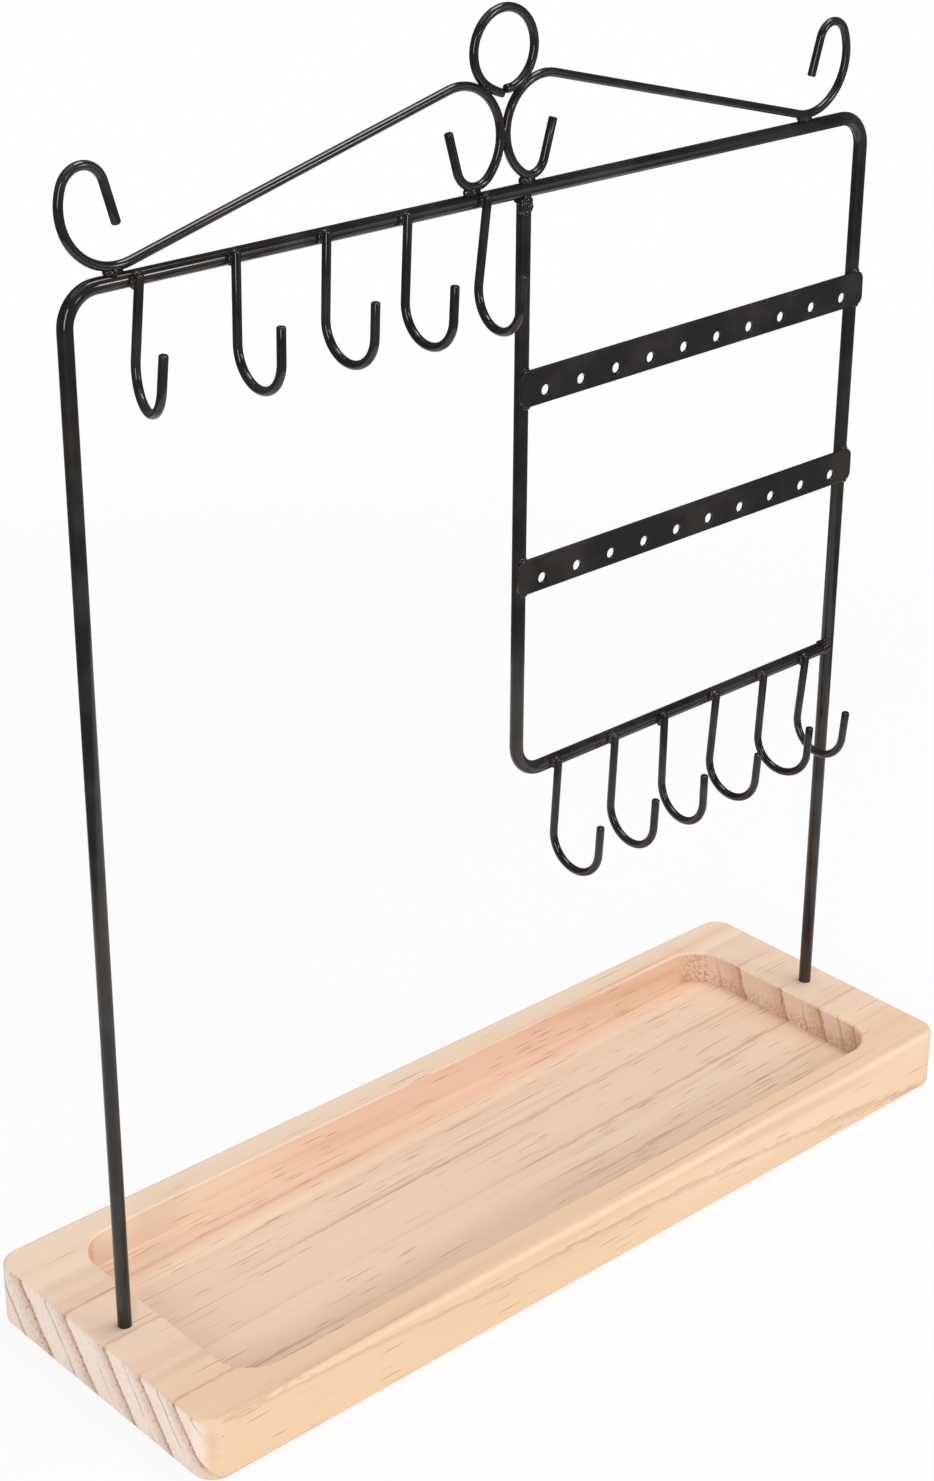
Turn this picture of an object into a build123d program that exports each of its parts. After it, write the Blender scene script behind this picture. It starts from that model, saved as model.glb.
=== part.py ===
"""Jewelry stand: a welded wire rack with a scrolled crest, plugged into a milled pine tray.

Millimetres, +Z up, +X along the tray, and the hooks point to -Y.
The origin is the centre of the tray's underside.
"""

import os
from math import asin, atan2, cos, degrees, hypot, radians, sin, sqrt

from build123d import *

os.makedirs("parts", exist_ok=True)

# Pine tray
tray_length = 300.0
tray_width = 100.0
tray_thickness = 20.0
tray_corner_radius = 7.0
tray_edge_radius = 1.5
end_rim = 20.0
side_rim = 10.0
pocket_depth = 11.0
pocket_corner_radius = 12.0
pocket_rim_chamfer = 0.5

# Wire and sheet stock
frame_wire = 4.0
thin_wire = 2.2
thin_wire_sides = 8
weld_bite = 0.2
cut_overrun = 6.0

# Main frame
rail_height = 291.2
frame_bend_radius = 9.0
leg_plug_depth = 15.0
leg_clearance = 0.05
leg_tip_chamfer = 0.5

# Panel wire
panel_width = 135.0
panel_drop = 170.3
hook_bar_rise = 1.8
panel_bend_radius = 9.0

# Earring bars
bar_overhang = 2.5
bar_height = 10.3
bar_thickness = 0.8
bar_corner_radius = 2.5
upper_bar_drop = 52.7
bar_spacing = 55.2
upper_bar_tilt = 1.0
lower_bar_tilt = 0.6
earring_hole_diameter = 3.0
earring_hole_count = 10
earring_hole_margin = 9.25
earring_hole_line = 3.6

# J-hooks
hook_shank = 22.5
hook_radius = 9.25
hook_tail = 9.2
upper_first_inset = 19.4
upper_last_inset = 15.7
lower_first_inset = 14.1
lower_last_inset = 13.5

# Places along each row of hooks, from its first hook to its last, and how each one came out by hand:
# the share of the usual shank that it has, its turn about its shank and its lean on its bar, in degrees
upper_place_shares = (0.0, 0.259, 0.514, 0.754, 1.0)
upper_shank_shares = (0.950, 1.024, 0.996, 1.027, 1.064)
upper_turns = (-17.0, -3.5, 1.0, 0.0, -6.5)
upper_leans = (8.3, 1.2, 2.5, 3.0, 7.7)
lower_place_shares = (0.0, 0.216, 0.411, 0.621, 0.820, 1.0)
lower_shank_shares = (1.065, 1.025, 1.001, 1.002, 0.960, 0.945)
lower_turns = (1.0, -1.5, -4.0, 2.0, 7.0, 0.5)
lower_leans = (3.4, 2.6, 0.5, 4.2, 3.0, 5.2)

# Scrolled crest: where each scroll ends beside its leg, and its outer curl and inner loop. Each of
# these has its radius, how far past level it turns, in degrees, and the radius of its crook.
crest_shift = -2.6
crest_gap = 0.6
left_curl_overhang = 1.0
left_curl_radius = 15.4
left_curl_turn = 20.0
left_curl_crook = 6.2
left_loop_radius = 14.45
left_loop_turn = 43.0
left_loop_crook = 6.5
right_curl_inset = 7.8
right_curl_radius = 15.3
right_curl_turn = 25.0
right_curl_crook = 5.4
right_loop_radius = 13.6
right_loop_turn = 58.0
right_loop_crook = 4.85
scroll_tail = 11.0
scroll_tail_lean = 16.5
weld_bead_length = 7.0
weld_bead_radius = 0.8

# Finial ring
ring_radius = 10.4
ring_seam = 0.4

# Shared places
frame_radius = frame_wire / 2
thin_radius = thin_wire / 2
pocket_length = tray_length - 2 * end_rim
pocket_width = tray_width - 2 * side_rim
leg_x = (tray_length - end_rim) / 2
foot_z = tray_thickness - leg_plug_depth
rail_z = tray_thickness + rail_height
panel_x = leg_x - panel_width
hook_bar_z = rail_z - panel_drop
hook_axis_offset = frame_radius + thin_radius - weld_bite
crest_seat_z = rail_z + frame_radius + crest_gap + thin_radius
left_reach = leg_x + left_curl_overhang + crest_shift
right_reach = leg_x - right_curl_inset - crest_shift

pieces = []


def keep(piece, name):
    """Label a finished piece and remember it for writing."""
    piece.label = name
    pieces.append(piece)
    return piece


def wire_section(centreline):
    """The plane square to the start of a wire's centre line."""
    return Plane(origin=centreline @ 0, z_dir=centreline % 0)


# Tray: one board with a milled pocket and a blind hole in the middle of each end rim
with BuildPart() as tray_base:
    with BuildSketch():
        RectangleRounded(tray_length, tray_width, tray_corner_radius)
    extrude(amount=tray_thickness)
    fillet(tray_base.faces().sort_by(Axis.Z)[0].edges(), tray_edge_radius)
    fillet(tray_base.faces().sort_by(Axis.Z)[-1].edges(), tray_edge_radius)
    with BuildSketch(Plane.XY.offset(tray_thickness)):
        RectangleRounded(pocket_length, pocket_width, pocket_corner_radius)
    extrude(amount=-pocket_depth, mode=Mode.SUBTRACT)
    tray_top = tray_base.faces().filter_by(Plane.XY).sort_by(Axis.Z)[-1]
    chamfer(tray_top.inner_wires()[0].edges(), pocket_rim_chamfer)
    with Locations((-leg_x, 0, tray_thickness), (leg_x, 0, tray_thickness)):
        Hole(frame_radius + leg_clearance, depth=leg_plug_depth)
keep(tray_base.part, "tray_base")

# Main frame: one wire bent to an upside-down U, its feet in the tray's blind holes
with BuildPart() as main_frame:
    with BuildLine(Plane.XZ) as frame_line:
        FilletPolyline(
            (-leg_x, foot_z),
            (-leg_x, rail_z),
            (leg_x, rail_z),
            (leg_x, foot_z),
            radius=frame_bend_radius,
        )
    with BuildSketch(wire_section(frame_line.line)):
        Circle(frame_radius)
    sweep(path=frame_line.line)
    leg_tips = main_frame.faces().filter_by(Plane.XY)
    chamfer(leg_tips.edges(), leg_tip_chamfer)
keep(main_frame.part, "main_frame")

# Panel wire: an L from the rail to the right leg, each end coped to the wire that it is welded to
with BuildPart() as panel_wire:
    with BuildLine(Plane.XZ) as panel_line:
        FilletPolyline(
            (panel_x, rail_z),
            (panel_x, hook_bar_z),
            (leg_x, hook_bar_z + hook_bar_rise),
            radius=panel_bend_radius,
        )
    with BuildSketch(wire_section(panel_line.line)):
        Circle(frame_radius)
    sweep(path=panel_line.line)
    with Locations((panel_x, 0, rail_z)):
        Cylinder(frame_radius, panel_width, rotation=(0, 90, 0), mode=Mode.SUBTRACT)
    with Locations((leg_x, 0, hook_bar_z + hook_bar_rise)):
        Cylinder(frame_radius, panel_drop, mode=Mode.SUBTRACT)
keep(panel_wire.part, "panel_wire")

# Earring bars: punched strips on the front of the panel wire and the right leg
bar_length = panel_width + 2 * bar_overhang
bar_middle_x = leg_x - panel_width / 2
bar_back_y = weld_bite - frame_radius
hole_pitch = (bar_length - 2 * earring_hole_margin) / (earring_hole_count - 1)
upper_bar_z = rail_z - upper_bar_drop
bar_places = {
    "earring_bar_upper": (upper_bar_z, upper_bar_tilt),
    "earring_bar_lower": (upper_bar_z - bar_spacing, lower_bar_tilt),
}
for bar_name, (bar_z, bar_tilt) in bar_places.items():
    bar_middle = Location((bar_middle_x, bar_back_y, bar_z), (0, -bar_tilt, 0))
    bar_plane = Plane(bar_middle * Plane.XZ.location)
    with BuildPart() as earring_bar:
        with BuildSketch(bar_plane):
            RectangleRounded(bar_length, bar_height, bar_corner_radius)
        extrude(amount=bar_thickness)
        with BuildSketch(bar_plane):
            with Locations((0, earring_hole_line - bar_height / 2)):
                with GridLocations(hole_pitch, hole_pitch, earring_hole_count, 1):
                    Circle(earring_hole_diameter / 2)
        extrude(amount=bar_thickness, mode=Mode.SUBTRACT)
        with Locations((panel_x, 0, bar_z), (leg_x, 0, bar_z)):
            Cylinder(frame_radius, bar_height + cut_overrun, mode=Mode.SUBTRACT)
    keep(earring_bar.part, bar_name)


def hang_hook(name, x, bar_z, shank_length, turn, lean):
    """One J-hook welded to the front of a bar: it leans about the bar and turns about its own shank."""
    on_bar = Location((x, 0, bar_z), (lean, 0, 0))
    on_shank = Location((0, -hook_axis_offset, 0), (0, 0, turn))
    hook_plane = Plane(on_bar * on_shank * Plane.YZ.location)
    shank_end = frame_radius - shank_length
    with BuildPart() as hook:
        with BuildLine(hook_plane) as hook_line:
            shank = Line((0, frame_radius), (0, shank_end))
            bend = JernArc(shank @ 1, shank % 1, hook_radius, -180)
            Line(bend @ 1, bend @ 1 + (bend % 1) * hook_tail)
        with BuildSketch(wire_section(hook_line.line)):
            RegularPolygon(thin_radius, thin_wire_sides)
        sweep(path=hook_line.line)
        with Locations((x, 0, bar_z)):
            Cylinder(frame_radius, hook_radius, rotation=(0, 90, 0), mode=Mode.SUBTRACT)
    return keep(hook.part, name)


# Hooks: a row on the rail, left of the panel wire, and a row on the panel wire's bottom bar
upper_first_x = -leg_x + upper_first_inset
upper_row = panel_x - upper_last_inset - upper_first_x
upper_rows = zip(upper_place_shares, upper_shank_shares, upper_turns, upper_leans)
for number, (share, shank_share, turn, lean) in enumerate(upper_rows, 1):
    hook_x = upper_first_x + share * upper_row
    hang_hook(f"hook_upper_{number}", hook_x, rail_z, shank_share * hook_shank, turn, lean)

lower_first_x = panel_x + lower_first_inset
lower_row = leg_x - lower_last_inset - lower_first_x
lower_rows = zip(lower_place_shares, lower_shank_shares, lower_turns, lower_leans)
for number, (share, shank_share, turn, lean) in enumerate(lower_rows, 1):
    hook_x = lower_first_x + share * lower_row
    bar_z = hook_bar_z + hook_bar_rise * (hook_x - panel_x) / panel_width
    hang_hook(f"hook_lower_{number}", hook_x, bar_z, shank_share * hook_shank, turn, lean)

# Scrolls: each runs from a crook inside its loop, over the loop, down a straight to its curl on the
# rail, and up round the curl into a crook. A weld bead joins the loop's crook and the curl to the rail.
left_curl = (left_curl_radius, left_curl_turn, left_curl_crook)
left_loop = (left_loop_radius, left_loop_turn, left_loop_crook)
right_curl = (right_curl_radius, right_curl_turn, right_curl_crook)
right_loop = (right_loop_radius, right_loop_turn, right_loop_crook)


def loop_centre(side, loop):
    """The middle of a loop, in X and Z: the loop touches the crest's axis, and its crook its seat."""
    radius, turn, crook = loop
    x = crest_shift + side * (thin_radius - weld_bite / 2 + radius)
    z = crest_seat_z + crook + (radius - crook) * sin(radians(turn))
    return x, z


def bend_scroll(side, reach, curl, loop):
    """One scroll on the left (side -1) or right (side 1) of the crest, with its weld beads cut to the rail."""
    curl_radius, loop_radius = curl[0], loop[0]
    loop_x, loop_z = loop_centre(side, loop)
    curl_x = crest_shift + side * (reach - thin_radius - curl_radius)
    curl_z = crest_seat_z + curl_radius
    run_u, run_v = side * (curl_x - loop_x), curl_z - loop_z
    slope = asin((curl_radius + loop_radius) / hypot(run_u, run_v)) - atan2(run_v, run_u)
    across_x, across_z = side * sin(slope), cos(slope)
    _, loop_turn, loop_crook = loop
    crook_x = loop_x - side * (loop_radius - loop_crook) * cos(radians(loop_turn))
    bead_z = rail_z + frame_radius + crest_gap / 2
    with BuildPart() as scroll:
        with BuildLine(Plane.XZ) as scroll_line:
            straight = Line(
                (loop_x + loop_radius * across_x, loop_z + loop_radius * across_z),
                (curl_x - curl_radius * across_x, curl_z - curl_radius * across_z),
            )
            for end, way, (radius, turn, crook) in (
                (straight @ 0, -(straight % 0), loop),
                (straight @ 1, straight % 1, curl),
            ):
                big = JernArc(end, way, radius, side * (90 + turn + degrees(slope)))
                small = JernArc(big @ 1, big % 1, crook, side * (180 - scroll_tail_lean - turn))
                Line(small @ 1, small @ 1 + (small % 1) * scroll_tail)
        with BuildSketch(wire_section(scroll_line.line)):
            RegularPolygon(thin_radius, thin_wire_sides)
        sweep(path=scroll_line.line)
        with Locations((curl_x, 0, bead_z), (crook_x, 0, bead_z)):
            Cylinder(weld_bead_radius, weld_bead_length, rotation=(0, 90, 0))
        with Locations((crest_shift, 0, rail_z)):
            Cylinder(frame_radius, left_reach + right_reach, rotation=(0, 90, 0), mode=Mode.SUBTRACT)
    return scroll.part


left_scroll = keep(bend_scroll(-1, left_reach, left_curl, left_loop), "scroll_left")
right_blank = bend_scroll(1, right_reach, right_curl, right_loop)
with BuildPart() as scroll_right:
    add(right_blank)
    add(left_scroll, mode=Mode.SUBTRACT)
keep(scroll_right.part, "scroll_right")

# Finial ring: butted at the bottom, its centre where it seats on both loops
left_x, left_z = loop_centre(-1, left_loop)
right_x, right_z = loop_centre(1, right_loop)
loops_apart = hypot(right_x - left_x, right_z - left_z)
left_seat = ring_radius + left_loop_radius + thin_wire - weld_bite
right_seat = ring_radius + right_loop_radius + thin_wire - weld_bite
along = (left_seat**2 - right_seat**2 + loops_apart**2) / (2 * loops_apart)
above = sqrt(left_seat**2 - along**2)
tilt = atan2(right_z - left_z, right_x - left_x)
ring_x = left_x + along * cos(tilt) - above * sin(tilt)
ring_z = left_z + along * sin(tilt) + above * cos(tilt)
seam_angle = degrees(ring_seam / ring_radius)
with BuildPart() as finial_ring:
    with BuildLine(Plane.XZ) as ring_line:
        CenterArc((ring_x, ring_z), ring_radius, seam_angle / 2 - 90, 360 - seam_angle)
    with BuildSketch(wire_section(ring_line.line)):
        RegularPolygon(thin_radius, thin_wire_sides)
    sweep(path=ring_line.line)
    add(left_scroll, mode=Mode.SUBTRACT)
    add(scroll_right.part, mode=Mode.SUBTRACT)
keep(finial_ring.part, "finial_ring")

for piece in pieces:
    export_step(piece, f"parts/{piece.label}.step")
    print(piece.label, "volume", round(piece.volume, 1), "solids", len(piece.solids()))
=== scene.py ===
# %% [markdown]
# # A jewelry stand of bent black wire in a pine tray
# The real stand is a welded rack of two wire sizes, with two punched steel strips, plugged into a
# milled pine board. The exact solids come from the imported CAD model, so this lesson gives them
# their finish, and makes the thin wires and the strips again, rounder and finer.

# %% Load the CAD frame
import math

import bmesh
import bpy
from mathutils import Matrix, Vector, noise


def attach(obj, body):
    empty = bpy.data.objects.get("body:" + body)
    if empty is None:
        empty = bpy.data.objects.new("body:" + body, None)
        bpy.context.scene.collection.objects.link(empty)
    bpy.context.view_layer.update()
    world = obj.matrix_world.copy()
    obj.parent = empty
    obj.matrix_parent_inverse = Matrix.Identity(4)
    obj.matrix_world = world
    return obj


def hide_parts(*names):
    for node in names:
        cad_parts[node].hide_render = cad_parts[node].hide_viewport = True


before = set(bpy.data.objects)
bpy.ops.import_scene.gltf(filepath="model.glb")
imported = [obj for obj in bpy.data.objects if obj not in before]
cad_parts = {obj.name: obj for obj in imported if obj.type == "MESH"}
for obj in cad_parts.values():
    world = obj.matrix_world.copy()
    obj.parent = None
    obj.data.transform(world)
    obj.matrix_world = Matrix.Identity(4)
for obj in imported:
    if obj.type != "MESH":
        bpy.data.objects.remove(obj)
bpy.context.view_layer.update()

# %% [markdown]
# ## Shader sums
# A finish is easier to read as sums than as a web of nodes. One small class holds an output socket:
# its operators add Math nodes, and one method adds any other node. Written node by node, the pine
# below would take several hundred lines.

# %% A socket that can be used in sums
class Tone:
    """An output socket of a material's nodes. Sums of tones and numbers add Math nodes."""

    def __init__(self, tree, socket=None):
        self.tree = tree
        self.socket = socket

    def node(self, kind, settings=None, inputs=None, output=0):
        """Add a node: first its settings, then the values or links of its inputs."""
        made = self.tree.nodes.new(kind)
        for name, value in (settings or {}).items():
            if name == "stops":
                self.set_stops(made.color_ramp, value)
            else:
                setattr(made, name, value)
        for name, value in (inputs or {}).items():
            if isinstance(value, Tone):
                self.tree.links.new(value.socket, made.inputs[name])
            else:
                made.inputs[name].default_value = value
        return Tone(self.tree, made.outputs[output])

    @staticmethod
    def set_stops(ramp, stops):
        """Give a colour ramp its stops, as (place, colour) pairs."""
        while len(ramp.elements) < len(stops):
            ramp.elements.new(1.0)
        for element, (place, colour) in zip(ramp.elements, stops):
            element.position = place
            element.color = colour

    def math(self, operation, first, second=0.0):
        return self.node("ShaderNodeMath", {"operation": operation}, {0: first, 1: second})

    def __add__(self, other):
        return self.math("ADD", self, other)

    def __radd__(self, other):
        return self.math("ADD", other, self)

    def __sub__(self, other):
        return self.math("SUBTRACT", self, other)

    def __rsub__(self, other):
        return self.math("SUBTRACT", other, self)

    def __mul__(self, other):
        return self.math("MULTIPLY", self, other)

    def __rmul__(self, other):
        return self.math("MULTIPLY", other, self)

    def fraction(self):
        """What is left over after the last whole number."""
        return self.math("FRACT", self)

    def rise(self, low, high):
        """0 where the tone is under low, 1 where it is over high, and smooth between them."""
        return self.node(
            "ShaderNodeMapRange",
            {"interpolation_type": "SMOOTHSTEP"},
            {"Value": self, "From Min": low, "From Max": high},
        )

    def ramp(self, stops):
        """The colour that a row of stops has at this tone."""
        return self.node("ShaderNodeValToRGB", {"stops": stops}, {"Fac": self})

    def towards(self, colour, share):
        """This colour, mixed with another one by a share."""
        return self.node(
            "ShaderNodeMix", {"data_type": "RGBA"}, {0: share, 6: self, 7: colour}, output=2
        )


def paint(red, green, blue):
    """A colour as a screen shows it, 0 to 255, in the linear numbers that shaders use."""
    linear = []
    for part in (red / 255, green / 255, blue / 255):
        linear.append(part / 12.92 if part <= 0.04045 else ((part + 0.055) / 1.055) ** 2.4)
    return (*linear, 1.0)


def new_finish(name):
    """A new material, its Principled shader and a tone to build on."""
    material = bpy.data.materials.new(name)
    material.use_nodes = True
    tree = material.node_tree
    return material, tree.nodes["Principled BSDF"], Tone(tree)


def feed(shader, **tones):
    """Link tones to the shader's inputs, whose names are written with _ for a blank."""
    for name, tone in tones.items():
        tone.tree.links.new(tone.socket, shader.inputs[name.replace("_", " ")])


print("Shader sums ready")

# %% [markdown]
# ## Black paint
# The rack is dipped or sprayed in a black, fairly glossy paint. It is never one flat black: it is a
# little brown where it is thin, duller in patches, dusty in places, and its skin is very slightly
# wavy. Slow noise gives the patches, finer noise the waves of the skin, and the finest the dust.

# %% Black paint
MM = 0.001
PATCH_SCALE, SKIN_SCALE, DUST_SCALE = 60.0, 420.0, 2600.0
DEEP_BLACK, THIN_BLACK, DUST_GREY = paint(26, 25, 24), paint(42, 40, 38), paint(84, 80, 77)
PAINT_ROUGHNESS = 0.10
PAINT_SHINE, SHINE_TINT = 0.47, paint(255, 247, 240)
SKIN_STRENGTH, SKIN_DEPTH = 0.025, 0.05 * MM

black_paint, paint_shader, tone = new_finish("black_paint")
place = tone.node("ShaderNodeTexCoord", output="Object")


def paint_noise(scale, detail):
    """Noise in the paint, alike in all directions, from 0 to 1 and mostly near the middle."""
    return tone.node(
        "ShaderNodeTexNoise", None, {"Vector": place, "Scale": scale, "Detail": detail}
    )


patches = paint_noise(PATCH_SCALE, 3.0)
skin = paint_noise(SKIN_SCALE, 1.0)
thin_paint = patches.rise(0.42, 0.68)
dust = paint_noise(DUST_SCALE, 1.0).rise(0.72, 0.82) * 0.25
black = thin_paint.ramp([(0.0, DEEP_BLACK), (1.0, THIN_BLACK)]).towards(DUST_GREY, dust)
dullness = PAINT_ROUGHNESS + thin_paint * 0.05 + dust * 0.1
swell = tone.node(
    "ShaderNodeBump",
    None,
    {"Strength": SKIN_STRENGTH, "Distance": SKIN_DEPTH, "Height": skin + patches * 2.0},
)
feed(paint_shader, Base_Color=black, Roughness=dullness, Normal=swell)
paint_shader.inputs["Specular IOR Level"].default_value = PAINT_SHINE
paint_shader.inputs["Specular Tint"].default_value = SHINE_TINT
print("Finish made:", black_paint.name)

# %% [markdown]
# ## Pine
# The board is plain sawn pine, milled and sanded. What the eye reads as pine is all one pattern in
# the solid wood: growth rings that slant through the board, and fibres and resin canals that run
# along it. So the finish is worked out in the solid, from the place of each point, and end grain,
# faces and the milled pocket then fit together by themselves. A flat picture of wood would not.

# %% Pine: places in the log
GRAIN_TURN = math.radians(-1.2)
pine, pine_shader, tone = new_finish("pine")
place = tone.node("ShaderNodeTexCoord", output="Object")
place = tone.node("ShaderNodeMapping", None, {"Vector": place, "Rotation": (0, 0, GRAIN_TURN)})
parts = tone.node("ShaderNodeSeparateXYZ", None, {"Vector": place}).socket.node
along, across, height = (Tone(tone.tree, parts.outputs[axis]) for axis in "XYZ")


def stretched(along_scale, across_scale):
    """The place in the board, squeezed so that a pattern is drawn out along the grain."""
    scales = (along_scale, across_scale, across_scale)
    return tone.node("ShaderNodeVectorMath", {"operation": "MULTIPLY"}, {0: place, 1: scales})


def grain_noise(along_scale, across_scale, detail):
    """Soft noise drawn out along the grain, from 0 to 1 and mostly near the middle."""
    squeezed = stretched(along_scale, across_scale)
    return tone.node(
        "ShaderNodeTexNoise", None, {"Vector": squeezed, "Scale": 1.0, "Detail": detail}
    )


print("Places in the log ready")

# %% [markdown]
# The rings are planes through the log that lean over, a little differently at each end of the
# board. Counted across them, each point gets a year, and the fraction of the year tells spring wood
# from summer wood. Three noises bend, ripple and fray the rings, as no tree grows them straight.

# %% Pine: the year of each point
BOARD_TOP = 20 * MM
MIDDLE_SLANT, SLANT_CHANGE = 0.54, 1.4
FIRST_YEAR, YEARS_PER_METRE, YEAR_CHANGE = 11.90, 56.5, 197.0
WANDER_WIDTH, RIPPLE_WIDTH, FRAY_WIDTH = 4.0 * MM, 2.6 * MM, 1.6 * MM
wander = grain_noise(5.0, 16.0, 2.0) - 0.5
ripple = grain_noise(5.0, 110.0, 2.0) - 0.5
fray = grain_noise(260.0, 1300.0, 2.0) - 0.5
ring_slant = MIDDLE_SLANT - along * SLANT_CHANGE
log_depth = across - (height - BOARD_TOP) * ring_slant
log_depth = log_depth + wander * WANDER_WIDTH + ripple * RIPPLE_WIDTH + fray * FRAY_WIDTH
year = FIRST_YEAR - log_depth * YEARS_PER_METRE + log_depth * log_depth * YEAR_CHANGE
ring = year.fraction()
print("Pine is sawn with rings about", round(1 / YEARS_PER_METRE / MM), "mm apart")

# %% [markdown]
# In each year's ring, the pale spring wood darkens slowly to a thin band of summer wood and then
# starts again with a sharp edge. On the sawn faces this gives soft stripes, and on the end grain
# dark slanting lines. Long streaks and fine fibres lie over the rings, and broad zones of the log
# are pinker or yellower.

# %% Pine: rings, zones and streaks
ZONE_START, ZONE_SPAN = -60 * MM, 120 * MM
ZONES = [
    (0.00, paint(237, 205, 171)),
    (0.20, paint(234, 201, 165)),
    (0.33, paint(236, 206, 180)),
    (0.47, paint(239, 210, 185)),
    (0.70, paint(237, 207, 183)),
    (0.76, paint(230, 198, 173)),
    (0.78, paint(243, 216, 191)),
    (0.83, paint(236, 203, 175)),
    (0.86, paint(243, 217, 193)),
    (1.00, paint(244, 219, 195)),
]
SUMMER_TAN, RIM_BROWN = paint(226, 190, 158), paint(190, 142, 106)
BROAD_PALE, BROAD_PINK = paint(246, 224, 198), paint(222, 189, 164)
STREAK_DARK, STREAK_PALE = paint(212, 176, 146), paint(245, 222, 197)
FIBRE_BROWN = paint(204, 168, 138)
uneven = grain_noise(9.0, 60.0, 2.0).rise(0.34, 0.58)
year_end = 1 - ring.rise(0.965, 1.0)
summer_wood = ring.rise(0.32, 0.92) * year_end
summer_line = ring.rise(0.84, 0.94) * year_end
rim_line = ring.rise(0.89, 0.95) * (1 - ring.rise(0.962, 0.99))
broad = grain_noise(3.0, 45.0, 3.0)
streaks = grain_noise(5.0, 190.0, 3.0)
fibres = grain_noise(20.0, 1500.0, 2.0)
wood = ((log_depth - ZONE_START) * (1 / ZONE_SPAN)).ramp(ZONES)
wood = wood.towards(SUMMER_TAN, summer_wood * 0.16)
wood = wood.towards(RIM_BROWN, rim_line * uneven * 0.46)
wood = wood.towards(BROAD_PALE, broad.rise(0.50, 0.74) * 0.45)
wood = wood.towards(BROAD_PINK, (1 - broad.rise(0.28, 0.48)) * 0.34)
wood = wood.towards(STREAK_DARK, streaks.rise(0.55, 0.76) * 0.38)
wood = wood.towards(STREAK_PALE, (1 - streaks.rise(0.26, 0.44)) * 0.36)
wood = wood.towards(FIBRE_BROWN, fibres.rise(0.55, 0.80) * 0.18)
print("Pine streaks made over", len(ZONES), "zones")

# %% [markdown]
# Resin canals show as short thin brown dashes along the grain. Cells drawn out along the board hold
# one dash each, and a number from each cell decides whether it shows, so the dashes come in flocks
# as on the real board. The pocket was milled deeper, where there are more of them, and its back
# strip is warmer.

# %% Pine: the pocket and the resin canals
POCKET_HALF_LENGTH, POCKET_HALF_WIDTH, POCKET_EDGE = 131 * MM, 41 * MM, 0.5 * MM
RIM_LOW, RIM_HIGH = 19.0 * MM, 19.9 * MM
POCKET_WARM, WARM_START, WARM_END = paint(228, 187, 156), 26 * MM, 34 * MM
DASH_CORE, LOT_EDGE = 0.40, 0.02
CANAL_BROWN, LONG_CANAL_BROWN = paint(152, 94, 60), paint(172, 116, 82)
SHORT_CANAL_BROWN = paint(158, 102, 68)


def within(measure, half):
    """1 where a measure is nearer to the middle than half a size, and 0 outside."""
    away = measure.math("ABSOLUTE", measure)
    return 1 - away.rise(half - POCKET_EDGE, half + POCKET_EDGE)


def dashes(along_scale, across_scale, reach, keep):
    """Short strokes along the grain: one for each drawn-out cell whose number is under keep."""
    squeezed = stretched(along_scale, across_scale)
    cell = tone.node("ShaderNodeTexVoronoi", None, {"Vector": squeezed, "Scale": 1.0})
    lot = Tone(tone.tree, cell.socket.node.outputs["Color"])
    lot = tone.node("ShaderNodeSeparateColor", None, {"Color": lot})
    shown = 1 - (lot - keep).rise(-LOT_EDGE, LOT_EDGE)
    return (1 - cell.rise(reach * DASH_CORE, reach)) * shown


inside = within(across, POCKET_HALF_WIDTH) * within(along, POCKET_HALF_LENGTH)
inside = inside * (1 - height.rise(RIM_LOW, RIM_HIGH))
wood = wood.towards(POCKET_WARM, inside * across.rise(WARM_START, WARM_END) * 0.38)
flock = grain_noise(12.0, 60.0, 2.0).rise(0.38, 0.62) * (0.16 + inside * 0.84)
canals = dashes(22.0, 1600.0, 0.24, 0.05 + flock * 0.70)
long_canals = dashes(9.0, 1700.0, 0.22, 0.03 + flock * 0.24)
short_canals = dashes(55.0, 1600.0, 0.26, 0.03 + flock * 0.42)
wood = wood.towards(CANAL_BROWN, canals * 0.85)
wood = wood.towards(LONG_CANAL_BROWN, long_canals * 0.80)
wood = wood.towards(SHORT_CANAL_BROWN, short_canals * 0.80)
print("Resin canals made")

# %% [markdown]
# Cut across, the same wood shows the open ends of its fibres: it is paler and greyer, with dark
# speckle, and the summer lines turn red-brown. Inside the pocket the end walls get painted shade:
# their end grain is tinted darker and browner. The way a face points tells end grain from long
# grain, also round the pocket's corners, where the cutter tore the fibres.

# %% Pine: end grain and surface
END_PALE, END_SUMMER, END_LINE = paint(252, 236, 223), paint(190, 141, 110), paint(156, 106, 80)
FALSE_RING_BROWN, PORE_BROWN = paint(172, 126, 102), paint(200, 162, 140)
# The first colour here is painted shade for the end walls inside the pocket
POCKET_END_SHADE, TORN_BROWN = paint(206, 154, 108), paint(194, 142, 106)
TORN_FOOT_LOW, TORN_FOOT_HIGH = 11.5 * MM, 14.5 * MM
GRAIN_STRENGTH, GRAIN_DEPTH = 0.30, 0.10 * MM
SANDED_ROUGHNESS, PINE_SHINE = 0.52, 0.35
facing = tone.node("ShaderNodeNewGeometry", output="Normal")
facing = tone.node("ShaderNodeSeparateXYZ", None, {"Vector": facing})
turned_in = facing * facing
end_grain = turned_in.rise(0.35, 0.90)
torn_grain = turned_in.rise(0.02, 0.22) * (1 - turned_in.rise(0.72, 0.92))
torn_foot = inside * end_grain * (1 - height.rise(TORN_FOOT_LOW, TORN_FOOT_HIGH))
speckle = grain_noise(260.0, 850.0, 4.0)
pores = speckle.rise(0.50, 0.68)
dots = grain_noise(800.0, 1000.0, 2.0).rise(0.44, 0.60)
false_ring = ring.rise(0.40, 0.45) * (1 - ring.rise(0.46, 0.50)) * uneven
end_wood = wood.towards(END_PALE, 0.84)
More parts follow.
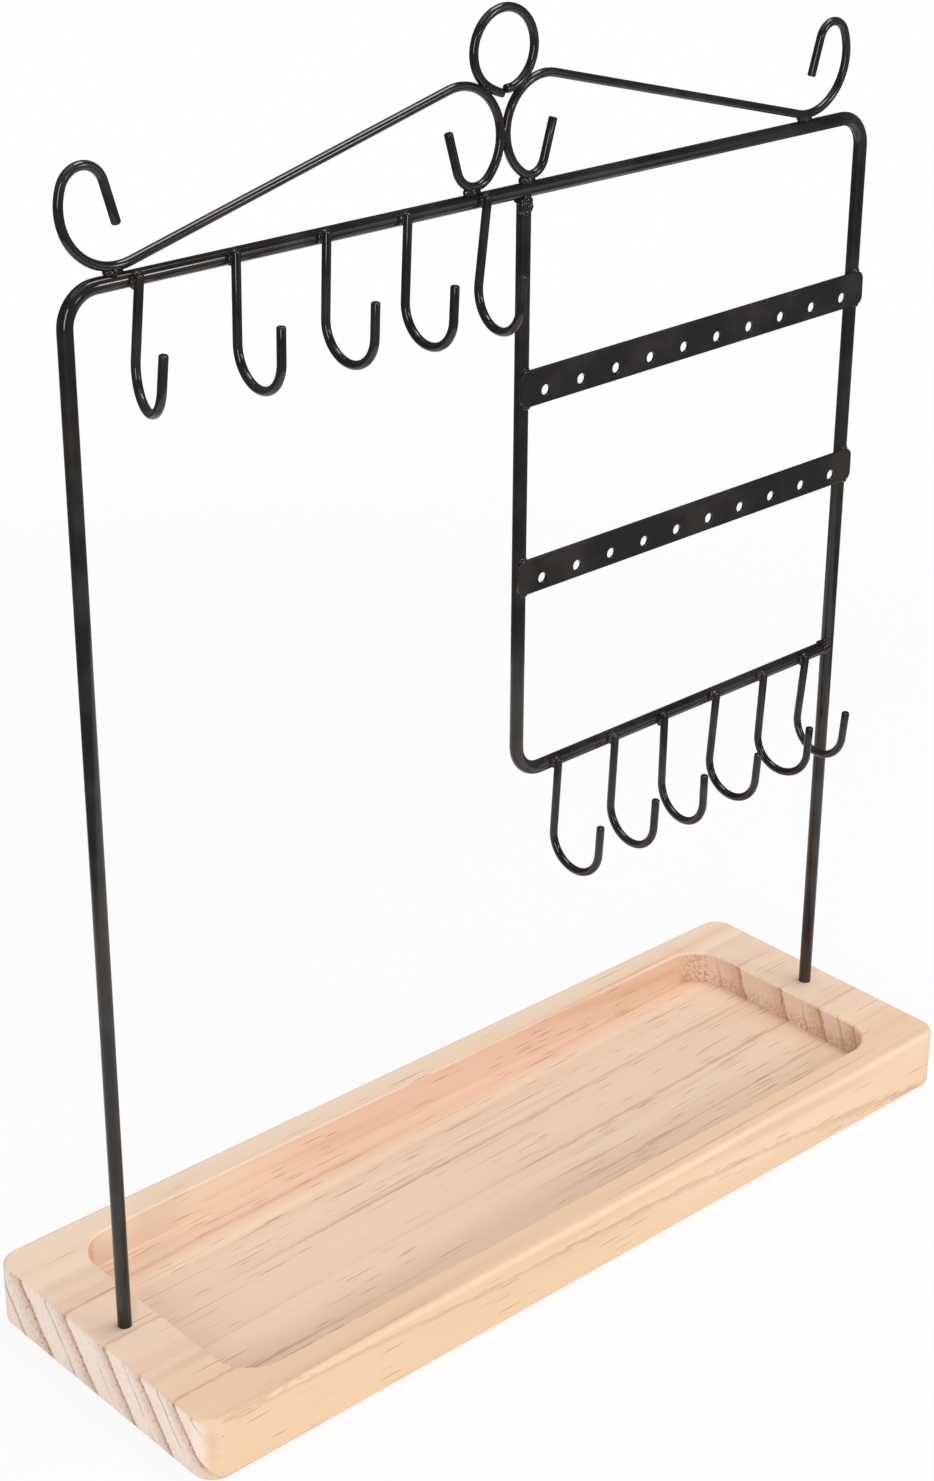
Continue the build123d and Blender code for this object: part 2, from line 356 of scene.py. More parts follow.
end_wood = end_wood.towards(END_SUMMER, summer_wood * summer_wood * (0.40 + pores * 0.50))
end_wood = end_wood.towards(END_LINE, summer_line * (0.45 + pores * 0.40))
end_wood = end_wood.towards(FALSE_RING_BROWN, false_ring * 0.60)
end_wood = end_wood.towards(PORE_BROWN, pores * 0.18)
# Painted shade: inside the pocket the end walls are tinted darker and browner, as they lie in shade
end_wood = end_wood.towards(POCKET_END_SHADE, inside * 0.36)
torn = torn_grain * (0.08 + inside * 0.92) + torn_foot
wood = wood.towards(end_wood, end_grain).towards(TORN_BROWN, dots * torn * 0.50)
relief = fibres * 0.6 + streaks * 0.4 - canals * 0.5 + speckle * (end_grain + torn_grain) * 0.5
grain_bump = tone.node(
    "ShaderNodeBump",
    None,
    {"Strength": GRAIN_STRENGTH, "Distance": GRAIN_DEPTH, "Height": relief},
)
sanded = SANDED_ROUGHNESS - summer_wood * 0.06 + canals * 0.2 + end_grain * 0.15
feed(pine_shader, Base_Color=wood, Roughness=sanded, Normal=grain_bump)
pine_shader.inputs["Specular IOR Level"].default_value = PINE_SHINE
print("Finish made:", pine.name)

# %% [markdown]
# ## Finishes on the CAD pieces
# The tray and the thick wires have their true shape in the CAD model, so they stay as they are and
# only take a finish. Their meshes are not touched.

# %% Finish the CAD pieces
for name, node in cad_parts.items():
    node.data.materials.clear()
    node.data.materials.append(pine if name == "tray_base" else black_paint)
print("CAD pieces finished")

# %% [markdown]
# ## A wire bender in code
# Thin wire is bent cold round pins. Here it goes the same way: a round end is drawn out straight or
# swung about a pin, and the bends stay true circles with clean rings of faces. Curve objects with a
# bevel would look alike, but their rings bunch up in tight crooks.

# %% Draw, bend and close a wire
THIN_RADIUS = 1.1 * MM
PAINT_THICKNESS = 0.1 * MM
WIRE_SIDES = 20
BEND_STEP, FEWEST_STEPS = math.radians(6), 3
TIP_ROUND = 0.45 * MM


def new_wire(start, way):
    """A wire's first round end, square to the way that the wire sets out."""
    wire = bmesh.new()
    turn = Vector((0, 0, 1)).rotation_difference(Vector(way)).to_matrix().to_4x4()
    bmesh.ops.create_circle(
        wire,
        cap_ends=False,
        segments=WIRE_SIDES,
        radius=THIN_RADIUS + PAINT_THICKNESS,
        matrix=Matrix.Translation(start) @ turn,
    )
    return wire, wire.edges[:]


def sweep_end(wire, end, steps, **motion):
    """Sweep a wire's open end along a motion of the spin operator, and return the new end."""
    corners = list({corner for edge in end for corner in edge.verts})
    swept = bmesh.ops.spin(
        wire, geom=corners + end, steps=steps, use_merge=False, use_duplicate=False, **motion
    )
    return [part for part in swept["geom_last"] if isinstance(part, bmesh.types.BMEdge)]


def draw_out(wire, end, step):
    """Pull a wire's open end along a straight step, and return the new end."""
    return sweep_end(wire, end, 1, cent=(0, 0, 0), axis=(0, 0, 1), dvec=step, angle=0)


def bend(wire, end, pin, axis, angle):
    """Swing a wire's open end about a pin, and return the new end."""
    steps = max(FEWEST_STEPS, math.ceil(abs(angle) / BEND_STEP))
    return sweep_end(wire, end, steps, cent=pin, axis=axis, dvec=(0, 0, 0), angle=angle)


def close_tips(wire, tips):
    """Close a wire's open ends and round their rims, as the paint does."""
    for tip in tips:
        bmesh.ops.contextual_create(wire, geom=tip)
    bmesh.ops.bevel(
        wire,
        geom=[edge for tip in tips for edge in tip],
        offset=TIP_ROUND,
        offset_type="OFFSET",
        affect="EDGES",
        segments=3,
        profile=0.5,
        material=-1,
    )


print("Wire bender ready")

# %% [markdown]
# A finished bmesh becomes an object at the origin, with its place in its mesh. A piece of the rack
# is also merged, turned right side out and shaded smooth. It rides on the rack, and the solids of
# the CAD model that it stands for are hidden.

# %% Turn a bmesh into a piece
MERGE_DISTANCE = 0.001 * MM


def make_object(solid, name, material):
    """Turn a bmesh into an object with one material."""
    mesh = bpy.data.meshes.new(name)
    solid.to_mesh(mesh)
    solid.free()
    mesh.materials.append(material)
    made = bpy.data.objects.new(name, mesh)
    bpy.context.scene.collection.objects.link(made)
    return made


def finish_piece(solid, name, replaced=()):
    """Turn a bmesh into a painted piece of the rack that stands for CAD nodes."""
    bmesh.ops.remove_doubles(solid, verts=solid.verts[:], dist=MERGE_DISTANCE)
    bmesh.ops.recalc_face_normals(solid, faces=solid.faces[:])
    piece = make_object(solid, name, black_paint)
    for face in piece.data.polygons:
        face.use_smooth = True
    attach(piece, "rack")
    if replaced:
        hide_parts(*replaced)
    return piece


print("Pieces can be finished")

# %% [markdown]
# ## The hooks
# Eleven J-hooks hang from the top rail and from the lower bar. They were bent on one jig but welded
# by hand, so each has its own shank, turn and lean. The values are those of the CAD model.

# %% Measures of the hooks
FRAME_RADIUS = 2.0 * MM
WELD_BITE = 0.2 * MM
RAIL_Z = 311.2 * MM
LEG_X = 140.0 * MM
PANEL_X = 5.0 * MM
HOOK_BAR_Z = RAIL_Z - 170.3 * MM
HOOK_BAR_SLOPE = 1.8 * MM / (LEG_X - PANEL_X)
HOOK_SHANK = 22.5 * MM
HOOK_RADIUS = 9.25 * MM
HOOK_TAIL = 9.2 * MM
HOOK_OUT = FRAME_RADIUS + THIN_RADIUS - WELD_BITE

# Each hook: its share of the row, its share of the shank, its turn and its lean in degrees
UPPER_HOOKS = [
    (0.0, 0.950, -17.0, 8.3),
    (0.259, 1.024, -3.5, 1.2),
    (0.514, 0.996, 1.0, 2.5),
    (0.754, 1.027, 0.0, 3.0),
    (1.0, 1.064, -6.5, 7.7),
]
LOWER_HOOKS = [
    (0.0, 1.065, 1.0, 3.4),
    (0.216, 1.025, -1.5, 2.6),
    (0.411, 1.001, -4.0, 0.5),
    (0.621, 1.002, 2.0, 4.2),
    (0.820, 0.960, 7.0, 3.0),
    (1.0, 0.945, 0.5, 5.2),
]
# Each row: its name, the height and slope of its bar, its first place, its length and its hooks
HOOK_ROWS = [
    ("upper", RAIL_Z, 0.0, -120.6 * MM, 109.9 * MM, UPPER_HOOKS),
    ("lower", HOOK_BAR_Z, HOOK_BAR_SLOPE, 19.1 * MM, 107.4 * MM, LOWER_HOOKS),
]
print("Hooks to hang:", len(UPPER_HOOKS), "and", len(LOWER_HOOKS))

# %% Bend and hang the hooks
def hang_hook(name, x, bar_z, shank, turn, lean):
    """Bend one J-hook beside the origin and weld it to the front of its bar."""
    hook, top = new_wire((0, 0, FRAME_RADIUS), (0, 0, -1))
    low = FRAME_RADIUS - shank
    end = draw_out(hook, top, (0, 0, -shank))
    end = bend(hook, end, (0, -HOOK_RADIUS, low), (1, 0, 0), -math.pi)
    tip = draw_out(hook, end, (0, 0, HOOK_TAIL))
    close_tips(hook, [top, tip])
    seat = (
        Matrix.Translation((x, 0, bar_z))
        @ Matrix.Rotation(math.radians(lean), 4, "X")
        @ Matrix.Translation((0, -HOOK_OUT, 0))
        @ Matrix.Rotation(math.radians(turn), 4, "Z")
    )
    bmesh.ops.transform(hook, matrix=seat, verts=hook.verts[:])
    finish_piece(hook, f"wire_{name}", [name])


hook_seats = []
for row, bar_start, slope, first_x, length, hooks in HOOK_ROWS:
    for number, (share, shank_share, turn, lean) in enumerate(hooks, 1):
        x = first_x + share * length
        bar_z = bar_start + slope * (x - PANEL_X)
        hang_hook(f"hook_{row}_{number}", x, bar_z, shank_share * HOOK_SHANK, turn, lean)
        hook_seats.append((x, bar_z))
print("Hooks hung:", len(hook_seats))

# %% [markdown]
# ## The punched strips
# The two earring strips are cut from flat steel and punched. Punch and paint leave a small round on
# every front rim, and that round is what catches the light along the strip and in each hole. A
# bevel on the solid's thin triangles would come out uneven, so each outline is laid as a stack of
# loops that follow the round, bridged to walls, and the two flat faces are filled between them.

# %% Measures of the strips
STRIP_LENGTH, STRIP_HEIGHT, STRIP_THICKNESS = 140.0 * MM, 10.3 * MM, 0.8 * MM
STRIP_CORNER, CORNER_SIDES = 2.5 * MM, 32
STRIP_MIDDLE_X = (PANEL_X + LEG_X) / 2
STRIP_BACK_Y = WELD_BITE - FRAME_RADIUS
STRIP_FRONT_Y = STRIP_BACK_Y - STRIP_THICKNESS
HOLE_COUNT, HOLE_RADIUS, HOLE_SIDES = 10, 1.5 * MM, 24
HOLE_MARGIN, HOLE_LINE = 9.25 * MM, 3.6 * MM
HOLE_PITCH = (STRIP_LENGTH - 2 * HOLE_MARGIN) / (HOLE_COUNT - 1)
FLAT_FACE = 0.999
# Each strip: the height of its middle and its tilt in degrees
STRIPS = {"upper": (RAIL_Z - 52.7 * MM, 1.0), "lower": (RAIL_Z - 107.9 * MM, 0.6)}

# The rim's round from the front face to the wall: how far inside the outline, how far back
RIM_ROUND = 0.22 * MM
rim_turns = [math.radians(turn) for turn in (0, 30, 60, 90)]
RIM = [(RIM_ROUND * (1 - math.sin(t)), RIM_ROUND * (1 - math.cos(t))) for t in rim_turns]
RIM.append((0.0, STRIP_THICKNESS))
print("Holes are", round(HOLE_PITCH / MM, 2), "mm apart, and a rim has", len(RIM), "loops")

# %% Punch the strips
def flat_loop(strip, sides, radius, middle, depth):
    """A circle in the strip's plane, so far behind its front face."""
    upright = Matrix.Rotation(math.pi / 2, 4, "X") @ Matrix.Rotation(math.pi / sides, 4, "Z")
    spot = Matrix.Translation((middle[0], STRIP_FRONT_Y + depth, middle[1]))
    made = bmesh.ops.create_circle(strip, segments=sides, radius=radius, matrix=spot @ upright)
    return made["verts"]


def outline_loop(strip, inset, depth):
    """The strip's outline: a circle whose quarters are moved apart to the four corners."""
    corners = flat_loop(strip, CORNER_SIDES, STRIP_CORNER - inset, (0, 0), depth)
    for corner in corners:
        corner.co.x += math.copysign(STRIP_LENGTH / 2 - STRIP_CORNER, corner.co.x)
        corner.co.z += math.copysign(STRIP_HEIGHT / 2 - STRIP_CORNER, corner.co.z)
    return corners


def hole_loop(strip, number, inset, depth):
    """The outline of one hole, counted from the strip's left end."""
    x = HOLE_MARGIN - STRIP_LENGTH / 2 + number * HOLE_PITCH
    z = HOLE_LINE - STRIP_HEIGHT / 2
    return flat_loop(strip, HOLE_SIDES, HOLE_RADIUS + inset, (x, z), depth)


def punch_strip(name, bar_z, tilt):
    """One strip: its outline and its holes, each as a stack of loops, walled and filled."""
    strip = bmesh.new()
    stacks = [[outline_loop(strip, inset, depth) for inset, depth in RIM]]
    for number in range(HOLE_COUNT):
        stacks.append([hole_loop(strip, number, inset, depth) for inset, depth in RIM])
    walls = []
    for stack in stacks:
        walls.append([{edge for corner in loop for edge in corner.link_edges} for loop in stack])
    for wall in walls:
        for front, behind in zip(wall, wall[1:]):
            bmesh.ops.bridge_loops(strip, edges=list(front | behind))
    for level in (0, -1):
        rims = [edge for wall in walls for edge in wall[level]]
        bmesh.ops.triangle_fill(strip, use_beauty=True, use_dissolve=False, edges=rims)
    seat = Matrix.Translation((STRIP_MIDDLE_X, 0, bar_z))
    seat = seat @ Matrix.Rotation(math.radians(-tilt), 4, "Y")
    bmesh.ops.transform(strip, matrix=seat, verts=strip.verts[:])
    piece = finish_piece(strip, f"strip_{name}", [f"earring_bar_{name}"])
    for face in piece.data.polygons:
        face.use_smooth = abs(face.normal.y) < FLAT_FACE
    return len(piece.data.polygons)


for name, (bar_z, tilt) in STRIPS.items():
    print("Strip", name, "faces:", punch_strip(name, bar_z, tilt))

# %% [markdown]
# ## The scrolled crest
# Each half of the crest is one wire: a loop at the middle, a straight run down to the rail, and a
# curl at the leg. Loop and curl each tighten into a small crook and end in a short straight tail.
# The straight run is the line that touches both circles, so it is worked out, and the bender does
# the rest from its two ends.

# %% Measures of the crest
CREST_X = -2.6 * MM
CREST_GAP = 0.6 * MM
CREST_SEAT_Z = RAIL_Z + FRAME_RADIUS + CREST_GAP + THIN_RADIUS
SCROLL_TAIL = 11.0 * MM
TAIL_LEAN = 16.5
Y_AXIS = Vector((0, 1, 0))
# How far each half reaches from the crest's axis
LEFT_REACH, RIGHT_REACH = LEG_X + 1.0 * MM + CREST_X, LEG_X - 7.8 * MM - CREST_X
# Each loop and curl: its radius, the turn in degrees at which the crook starts, the crook's radius
LEFT_LOOP = (14.45 * MM, 43.0, 6.5 * MM)
RIGHT_LOOP = (13.6 * MM, 58.0, 4.85 * MM)
LEFT_CURL = (15.4 * MM, 20.0, 6.2 * MM)
RIGHT_CURL = (15.3 * MM, 25.0, 5.4 * MM)


def loop_middle(side, loop):
    """The middle of a loop, in X and Z: it touches the crest's axis, and its crook its seat."""
    radius, turn, crook = loop
    x = CREST_X + side * (THIN_RADIUS - WELD_BITE / 2 + radius)
    z = CREST_SEAT_Z + crook + (radius - crook) * math.sin(math.radians(turn))
    return x, z


left_x, left_z = loop_middle(-1, LEFT_LOOP)
right_x, right_z = loop_middle(1, RIGHT_LOOP)
print("Loops stand at x =", round(left_x / MM, 1), "and", round(right_x / MM, 1), "mm")

# %% Bend the scrolls
def bend_scroll(name, side, reach, curl, loop):
    """One scroll: its straight run first, then the loop at one end and the curl at the other."""
    curl_radius, loop_radius = curl[0], loop[0]
    loop_x, loop_z = loop_middle(side, loop)
    curl_x = CREST_X + side * (reach - THIN_RADIUS - curl_radius)
    curl_z = CREST_SEAT_Z + curl_radius
    run, rise = side * (curl_x - loop_x), curl_z - loop_z
    slope = math.asin((curl_radius + loop_radius) / math.hypot(run, rise)) - math.atan2(rise, run)
    square = Vector((side * math.sin(slope), 0, math.cos(slope)))
    high = Vector((loop_x, 0, loop_z)) + loop_radius * square
    low = Vector((curl_x, 0, curl_z)) - curl_radius * square
    wire, first = new_wire(high, (low - high).normalized())
    second = draw_out(wire, first, low - high)
    tips = []
    for end, pin, out, (radius, turn, crook) in (
        (first, Vector((loop_x, 0, loop_z)), square, loop),
        (second, Vector((curl_x, 0, curl_z)), -square, curl),
    ):
        swing = math.radians(90 + turn) + slope
        end = bend(wire, end, pin, Y_AXIS, -side * swing)
        out = Matrix.Rotation(-side * swing, 3, "Y") @ out
        crook_swing = math.radians(180 - TAIL_LEAN - turn)
        end = bend(wire, end, pin + (radius - crook) * out, Y_AXIS, -side * crook_swing)
        out = Matrix.Rotation(-side * crook_swing, 3, "Y") @ out
        heading = Matrix.Rotation(-side * math.pi / 2, 3, "Y") @ out
        tips.append(draw_out(wire, end, heading * SCROLL_TAIL))
    close_tips(wire, tips)
    finish_piece(wire, f"wire_{name}", [name])
    crook_x = loop_x - side * (loop_radius - loop[2]) * math.cos(math.radians(loop[1]))
    return curl_x, crook_x


crest_feet = [
    *bend_scroll("scroll_left", -1, LEFT_REACH, LEFT_CURL, LEFT_LOOP),
    *bend_scroll("scroll_right", 1, RIGHT_REACH, RIGHT_CURL, RIGHT_LOOP),
]
print("Crest stands on the rail at x =", [round(x / MM, 1) for x in crest_feet])

# %% [markdown]
# ## The finial ring
# A ring of the same wire sits in the notch between the two loops. It is a butted ring, whose ends
# meet at the bottom with a small step, so it is swung almost all the way round and closed with two
# rounded tips, not made as a seamless torus.

# %% Seat the ring on the loops
RING_RADIUS = 10.4 * MM
left_seat = RING_RADIUS + LEFT_LOOP[0] + 2 * THIN_RADIUS - WELD_BITE
right_seat = RING_RADIUS + RIGHT_LOOP[0] + 2 * THIN_RADIUS - WELD_BITE
apart = Vector((right_x - left_x, 0, right_z - left_z))
along_line = (left_seat**2 - right_seat**2 + apart.length_squared) / (2 * apart.length)
above_line = math.sqrt(left_seat**2 - along_line**2)
up_line = Matrix.Rotation(-math.pi / 2, 3, "Y") @ apart.normalized()
ring_middle = Vector((left_x, 0, left_z)) + along_line * apart.normalized() + above_line * up_line
print("Ring middle:", [round(part / MM, 1) for part in ring_middle])

# %% Bend the ring
FULL_TURN = 2 * math.pi
RING_SEAM = 0.4 * MM
RING_STEP = 0.35 * MM
RING_DROOP = 0.9 * MM
LEFT_DROOP_ANGLE, RIGHT_LIFT_ANGLE, RIGHT_LIFT_SHARE = 0.6, 0.45, 0.35
half_seam = RING_SEAM / RING_RADIUS / 2
start = Matrix.Rotation(-half_seam, 3, "Y") @ Vector((0, 0, -RING_RADIUS))
ring_wire, butt = new_wire(ring_middle + start, (1, 0, 0))
far_butt = bend(ring_wire, butt, ring_middle, Y_AXIS, -(FULL_TURN - 2 * half_seam))
for corner in ring_wire.verts:
    turned = math.atan2(corner.co.x - ring_middle.x, ring_middle.z - corner.co.z) % FULL_TURN
    corner.co.y += RING_STEP * (turned / FULL_TURN - 0.5)
    left_end = max(0.0, 1 - (FULL_TURN - turned) / LEFT_DROOP_ANGLE)
    right_end = max(0.0, 1 - turned / RIGHT_LIFT_ANGLE)
    corner.co.z += RING_DROOP * (RIGHT_LIFT_SHARE * right_end**2 - left_end**2)
close_tips(ring_wire, [butt, far_butt])
finish_piece(ring_wire, "wire_finial_ring", ["finial_ring"])
print("Ring bent with a seam of", round(RING_SEAM / MM, 1), "mm")

# %% [markdown]
# ## Weld nuggets
# Every joint of the rack has a small bead of weld metal under the paint. A bead is a blob that was
# liquid, so each is a small ball, squashed along its joint and ruffled with noise from its own
# place. They are what tells a welded rack from a moulded one. All measures of welds are in mm.

# %% Set the welds of the hooks and of the crest
BALL_DETAIL = 3
RUFFLE_SCALE, RUFFLE_SHIFT, RUFFLE_DEPTH = 1.7, 0.9, 0.16
LUMP_ROW = 3.1


def set_weld(name, blobs):
    """One piece with all the blobs of a joint: each has a middle and three half sizes."""
    weld = bmesh.new()
    for (x, y, z), (a, b, c) in blobs:
        ball = bmesh.ops.create_icosphere(weld, subdivisions=BALL_DETAIL, radius=1.0)["verts"]
        for corner in ball:
            ruffle = noise.noise(corner.co * RUFFLE_SCALE + Vector((x, y, z)) * RUFFLE_SHIFT)
            corner.co *= 1.0 + RUFFLE_DEPTH * ruffle
        bmesh.ops.scale(weld, vec=(a * MM, b * MM, c * MM), verts=ball)
        bmesh.ops.translate(weld, vec=(x * MM, y * MM, z * MM), verts=ball)
    finish_piece(weld, name)
    print("Set", name, "with", len(blobs), "blobs")


def blobs_at(x, y, z, pattern):
    """A pattern of blobs, moved to a joint."""
    return [((x + dx, y + dy, z + dz), sizes) for (dx, dy, dz), sizes in pattern]


rail_mm, panel_mm, leg_mm = RAIL_Z / MM, PANEL_X / MM, LEG_X / MM
hook_blobs = []
for x, bar_z in hook_seats:
    lump = noise.noise(Vector((x / MM, LUMP_ROW, bar_z / MM)))
    pattern = [
        ((-1.35, 0.7, 0.2 + lump), (0.95, 0.9, 1.6)),
        ((1.3, 0.8, -0.4 - lump), (0.8, 0.8, 1.4)),
        ((-0.2, 0.4, 1.8), (1.4, 1.0, 0.6)),
    ]
    hook_blobs += blobs_at(x / MM, -HOOK_OUT / MM, bar_z / MM, pattern)
set_weld("weld_hooks", hook_blobs)

CREST_FOOT_WELD = [
    ((-0.9, 0.0, 0.0), (2.6, 1.1, 0.8)),
    ((-2.9, -0.2, 0.35), (1.3, 1.1, 1.2)),
    ((-1.4, -0.8, 0.2), (1.3, 0.9, 1.0)),
]
foot_mm = rail_mm + (FRAME_RADIUS + CREST_GAP / 2) / MM
crest_blobs = []
for x in crest_feet:
    crest_blobs += blobs_at(x / MM, 0.0, foot_mm, CREST_FOOT_WELD)
set_weld("weld_crest_feet", crest_blobs)

# %% Set the welds of the ring, the panel wire and the strips
RING_WELD_SIZE, LOOP_WELD_SIZE = (1.5, 1.05, 1.4), (0.75, 0.95, 2.4)
ring_blobs = []
for loop_x, loop_z, loop in ((left_x, left_z, LEFT_LOOP), (right_x, right_z, RIGHT_LOOP)):
    middle = Vector((loop_x, 0, loop_z))
    towards_ring = (ring_middle - middle).normalized()
    touch = (middle + towards_ring * (loop[0] + THIN_RADIUS)) / MM
    ring_blobs.append(((touch.x, -0.3, touch.z), RING_WELD_SIZE))
ring_blobs.append(((CREST_X / MM, -0.1, (left_z + right_z) / 2 / MM), LOOP_WELD_SIZE))
set_weld("weld_ring", ring_blobs)

PANEL_TOP_WELD = [
    ((-0.2, 0.0, -2.6), (2.6, 2.5, 1.3)),
    ((-1.4, -0.9, -4.0), (1.15, 1.35, 2.4)),
    ((0.7, -1.2, -4.2), (1.15, 1.15, 1.9)),
    ((-0.4, -1.6, -2.3), (1.7, 0.95, 1.2)),
    ((-0.6, -1.6, -5.6), (1.1, 0.7, 0.9)),
]
PANEL_END_WELD = [((-2.4, 0.0, 0.0), (1.5, 2.45, 2.7)), ((-2.1, -0.6, 1.6), (1.2, 1.4, 1.5))]
panel_end_mm = (HOOK_BAR_Z + HOOK_BAR_SLOPE * (LEG_X - PANEL_X)) / MM
panel_blobs = blobs_at(panel_mm, 0.0, rail_mm, PANEL_TOP_WELD)
panel_blobs += blobs_at(leg_mm, 0.0, panel_end_mm, PANEL_END_WELD)
set_weld("weld_panel_wire", panel_blobs)

STRIP_END_WELD = [((-0.2, -1.7, 5.3), (1.5, 0.8, 0.75)), ((0.3, -1.7, -5.3), (1.4, 0.75, 0.7))]
strip_blobs = []
for bar_z, tilt in STRIPS.values():
    climb = round(math.tan(math.radians(tilt)) * (leg_mm - panel_mm) / 2, 2)
    strip_blobs += blobs_at(panel_mm, 0.0, bar_z / MM - climb, STRIP_END_WELD)
    strip_blobs += blobs_at(leg_mm, 0.0, bar_z / MM + climb, STRIP_END_WELD)
set_weld("weld_strips", strip_blobs)

# %% [markdown]
# ## Floor, light and camera
# The photo is a product shot on white: soft light from all round and above, hardly any shadow, and
# glossy paint that mirrors a white table below and the dark room behind the camera. The floor is
# pale and the world white where the camera looks, so the background needs no extra light on the
# object. Far from the stand the floor fades to full white, so that no horizon shows.

# %% Lay the floor
FLOOR_HALF, FLOOR_DROP = 3.0, 0.02 * MM
FLOOR_PALE, FLOOR_ROUGHNESS = (0.86, 0.86, 0.86, 1.0), 0.8
FLOOR_WHITE = 0.88
FADE_START, FADE_END = 0.30, 1.00
WHITE = (1.0, 1.0, 1.0, 1.0)
floor_sheet = bmesh.new()
bmesh.ops.create_grid(floor_sheet, x_segments=1, y_segments=1, size=FLOOR_HALF)
bmesh.ops.translate(floor_sheet, vec=(0, 0, -FLOOR_DROP), verts=floor_sheet.verts[:])
pale, pale_shader, tone = new_finish("pale_floor")
pale_shader.inputs["Base Color"].default_value = FLOOR_PALE
pale_shader.inputs["Roughness"].default_value = FLOOR_ROUGHNESS
floor = make_object(floor_sheet, "floor", pale)


def straight_rays(start):
    """1 for rays that come from the camera, a mirror or glass, and 0 for the rest."""
    rays = start.node("ShaderNodeLightPath").socket.node.outputs
    names = ("Is Camera Ray", "Is Glossy Ray", "Is Transmission Ray")
    seen, mirrored, through = (Tone(start.tree, rays[name]) for name in names)
    return start.math("MINIMUM", seen + mirrored + through, 1.0)


white = tone.node("ShaderNodeEmission", None, {"Color": WHITE, "Strength": 1.0})
place = tone.node("ShaderNodeTexCoord", output="Object")
far = tone.node("ShaderNodeVectorMath", {"operation": "LENGTH"}, {0: place}, output="Value")
whiteness = FLOOR_WHITE + far.rise(FADE_START, FADE_END) * (1 - FLOOR_WHITE)
floor_look = tone.node(
    "ShaderNodeMixShader",
    None,
    {0: straight_rays(tone) * whiteness, 1: Tone(tone.tree, pale_shader.outputs[0]), 2: white},
)
floor_out = tone.tree.nodes["Material Output"]
tone.tree.links.new(floor_look.socket, floor_out.inputs["Surface"])
print("Floor laid")

# %% [markdown]
# Soft light from the world fills everything, and a few softboxes shape it. The top box lights the
# tray, the left strip its end, and the boxes in front draw the light lines along the wires, which
# are as wide as the box that they mirror.

# %% Light the studio
AMBIENT = 0.55
MIDDLE = Vector((0.0, 0.0, 0.15))
# Each softbox: its name, its place, its width and height in metres, and its power in watts
SOFTBOXES = [
    ("front_box", (0.74, -0.95, 0.42), 0.45, 0.80, 0.8),
    ("right_strip", (0.55, -1.01, 0.60), 0.15, 0.22, 1.8),
    ("spark_front", (0.05, -1.15, 0.52), 0.16, 0.09, 0.7),
    ("left_strip", (-1.05, -0.90, 0.50), 0.28, 0.80, 6.8),
    ("top_box", (0.40, -0.05, 1.60), 0.60, 0.60, 9.1),
]
world = bpy.data.worlds.new("studio")
bpy.context.scene.world = world
world.use_nodes = True
world.node_tree.nodes.clear()
sky = Tone(world.node_tree)
strength = AMBIENT + straight_rays(sky) * (1.0 - AMBIENT)
glow = sky.node("ShaderNodeBackground", None, {"Color": WHITE, "Strength": strength})
world_out = sky.tree.nodes.new("ShaderNodeOutputWorld")
sky.tree.links.new(glow.socket, world_out.inputs["Surface"])
for name, spot, width, tall, power in SOFTBOXES:
    lamp = bpy.data.lights.new(name, "AREA")
    lamp.shape = "RECTANGLE"
    lamp.size, lamp.size_y, lamp.energy = width, tall, power
    box = bpy.data.objects.new(name, lamp)
    bpy.context.scene.collection.objects.link(box)
    box.location = spot
    box.rotation_euler = (MIDDLE - Vector(spot)).to_track_quat("-Z", "Y").to_euler()
print("Softboxes set:", len(SOFTBOXES))

# %% [markdown]
# Glossy black looks black only where it mirrors something dark. The dark room is a cloth that lies
# round the table and hangs on all sides of it. Only mirrors see it: to the camera and to soft light
# it is not there.

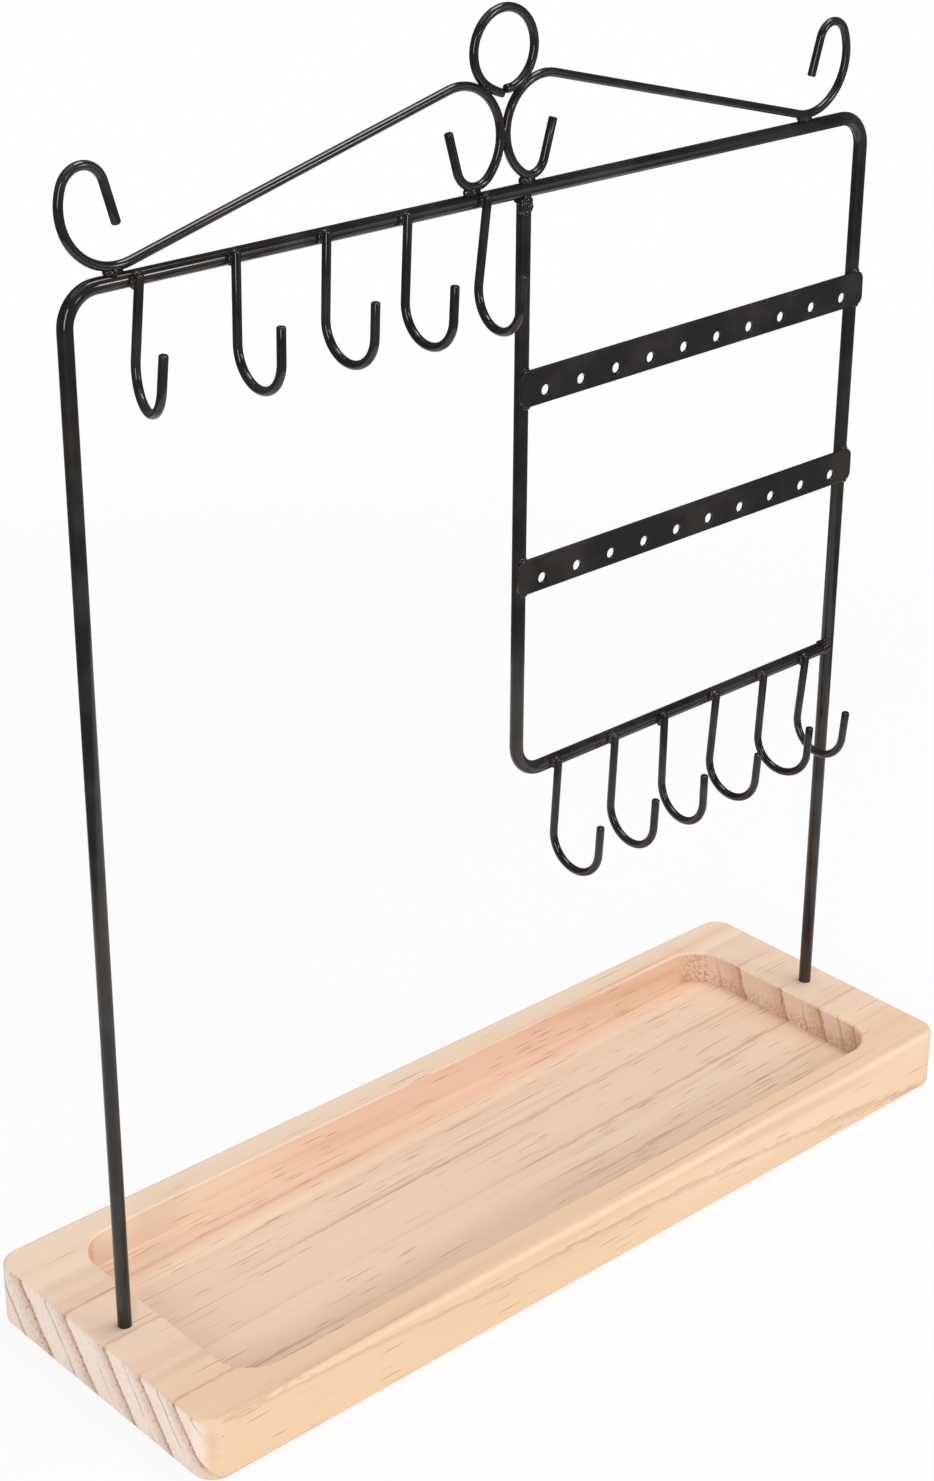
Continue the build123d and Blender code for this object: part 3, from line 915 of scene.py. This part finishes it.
# %% Hang the dark room
TABLE_REACH, ROOM_REACH, ROOM_HEIGHT = 0.40, 1.9, 3.0
ROOM_STEPS = 48
CLOTH_GREY = paint(124, 122, 120)
room_cloth = bmesh.new()
first = [
    room_cloth.verts.new((-reach, 0, rise))
    for reach, rise in ((TABLE_REACH, MM), (ROOM_REACH, MM), (ROOM_REACH, ROOM_HEIGHT))
]
hem = [room_cloth.edges.new(pair) for pair in zip(first, first[1:])]
bmesh.ops.spin(
    room_cloth,
    geom=first + hem,
    cent=(0, 0, 0),
    axis=(0, 0, 1),
    dvec=(0, 0, 0),
    angle=FULL_TURN,
    steps=ROOM_STEPS,
    use_merge=True,
    use_duplicate=False,
)
cloth, cloth_shader, _ = new_finish("dark_cloth")
cloth_shader.inputs["Base Color"].default_value = CLOTH_GREY
cloth_shader.inputs["Roughness"].default_value = 1.0
room = make_object(room_cloth, "dark_room", cloth)
room.visible_camera = room.visible_diffuse = room.visible_shadow = False
print("Dark room hung")

# %% [markdown]
# The camera was worked out from the board's edges in the photo, which give its place, its turn and
# its lens.

# %% Place the camera
PHOTO_HEIGHT = 1481
FOCAL_PIXELS = 2740.162
SENSOR_MM = 36.0
CAMERA_PLACE = (-0.481497, -0.514641, 0.489139)
CAMERA_RIGHT = Vector((0.74176, -0.67065, 0.00467))
CAMERA_UP = Vector((0.28528, 0.32183, 0.90280))
CAMERA_BACK = Vector((-0.60696, -0.66833, 0.43004))
camera_data = bpy.data.cameras.new("camera")
camera_data.sensor_width = SENSOR_MM
camera_data.lens = FOCAL_PIXELS * SENSOR_MM / PHOTO_HEIGHT
camera = bpy.data.objects.new("camera", camera_data)
bpy.context.scene.collection.objects.link(camera)
camera_turn = Matrix((CAMERA_RIGHT, CAMERA_UP, CAMERA_BACK)).transposed().to_4x4()
camera.matrix_world = Matrix.Translation(CAMERA_PLACE) @ camera_turn
bpy.context.scene.camera = camera
bpy.context.scene.view_settings.view_transform = "Standard"
print("Lens:", round(camera_data.lens, 2), "mm")
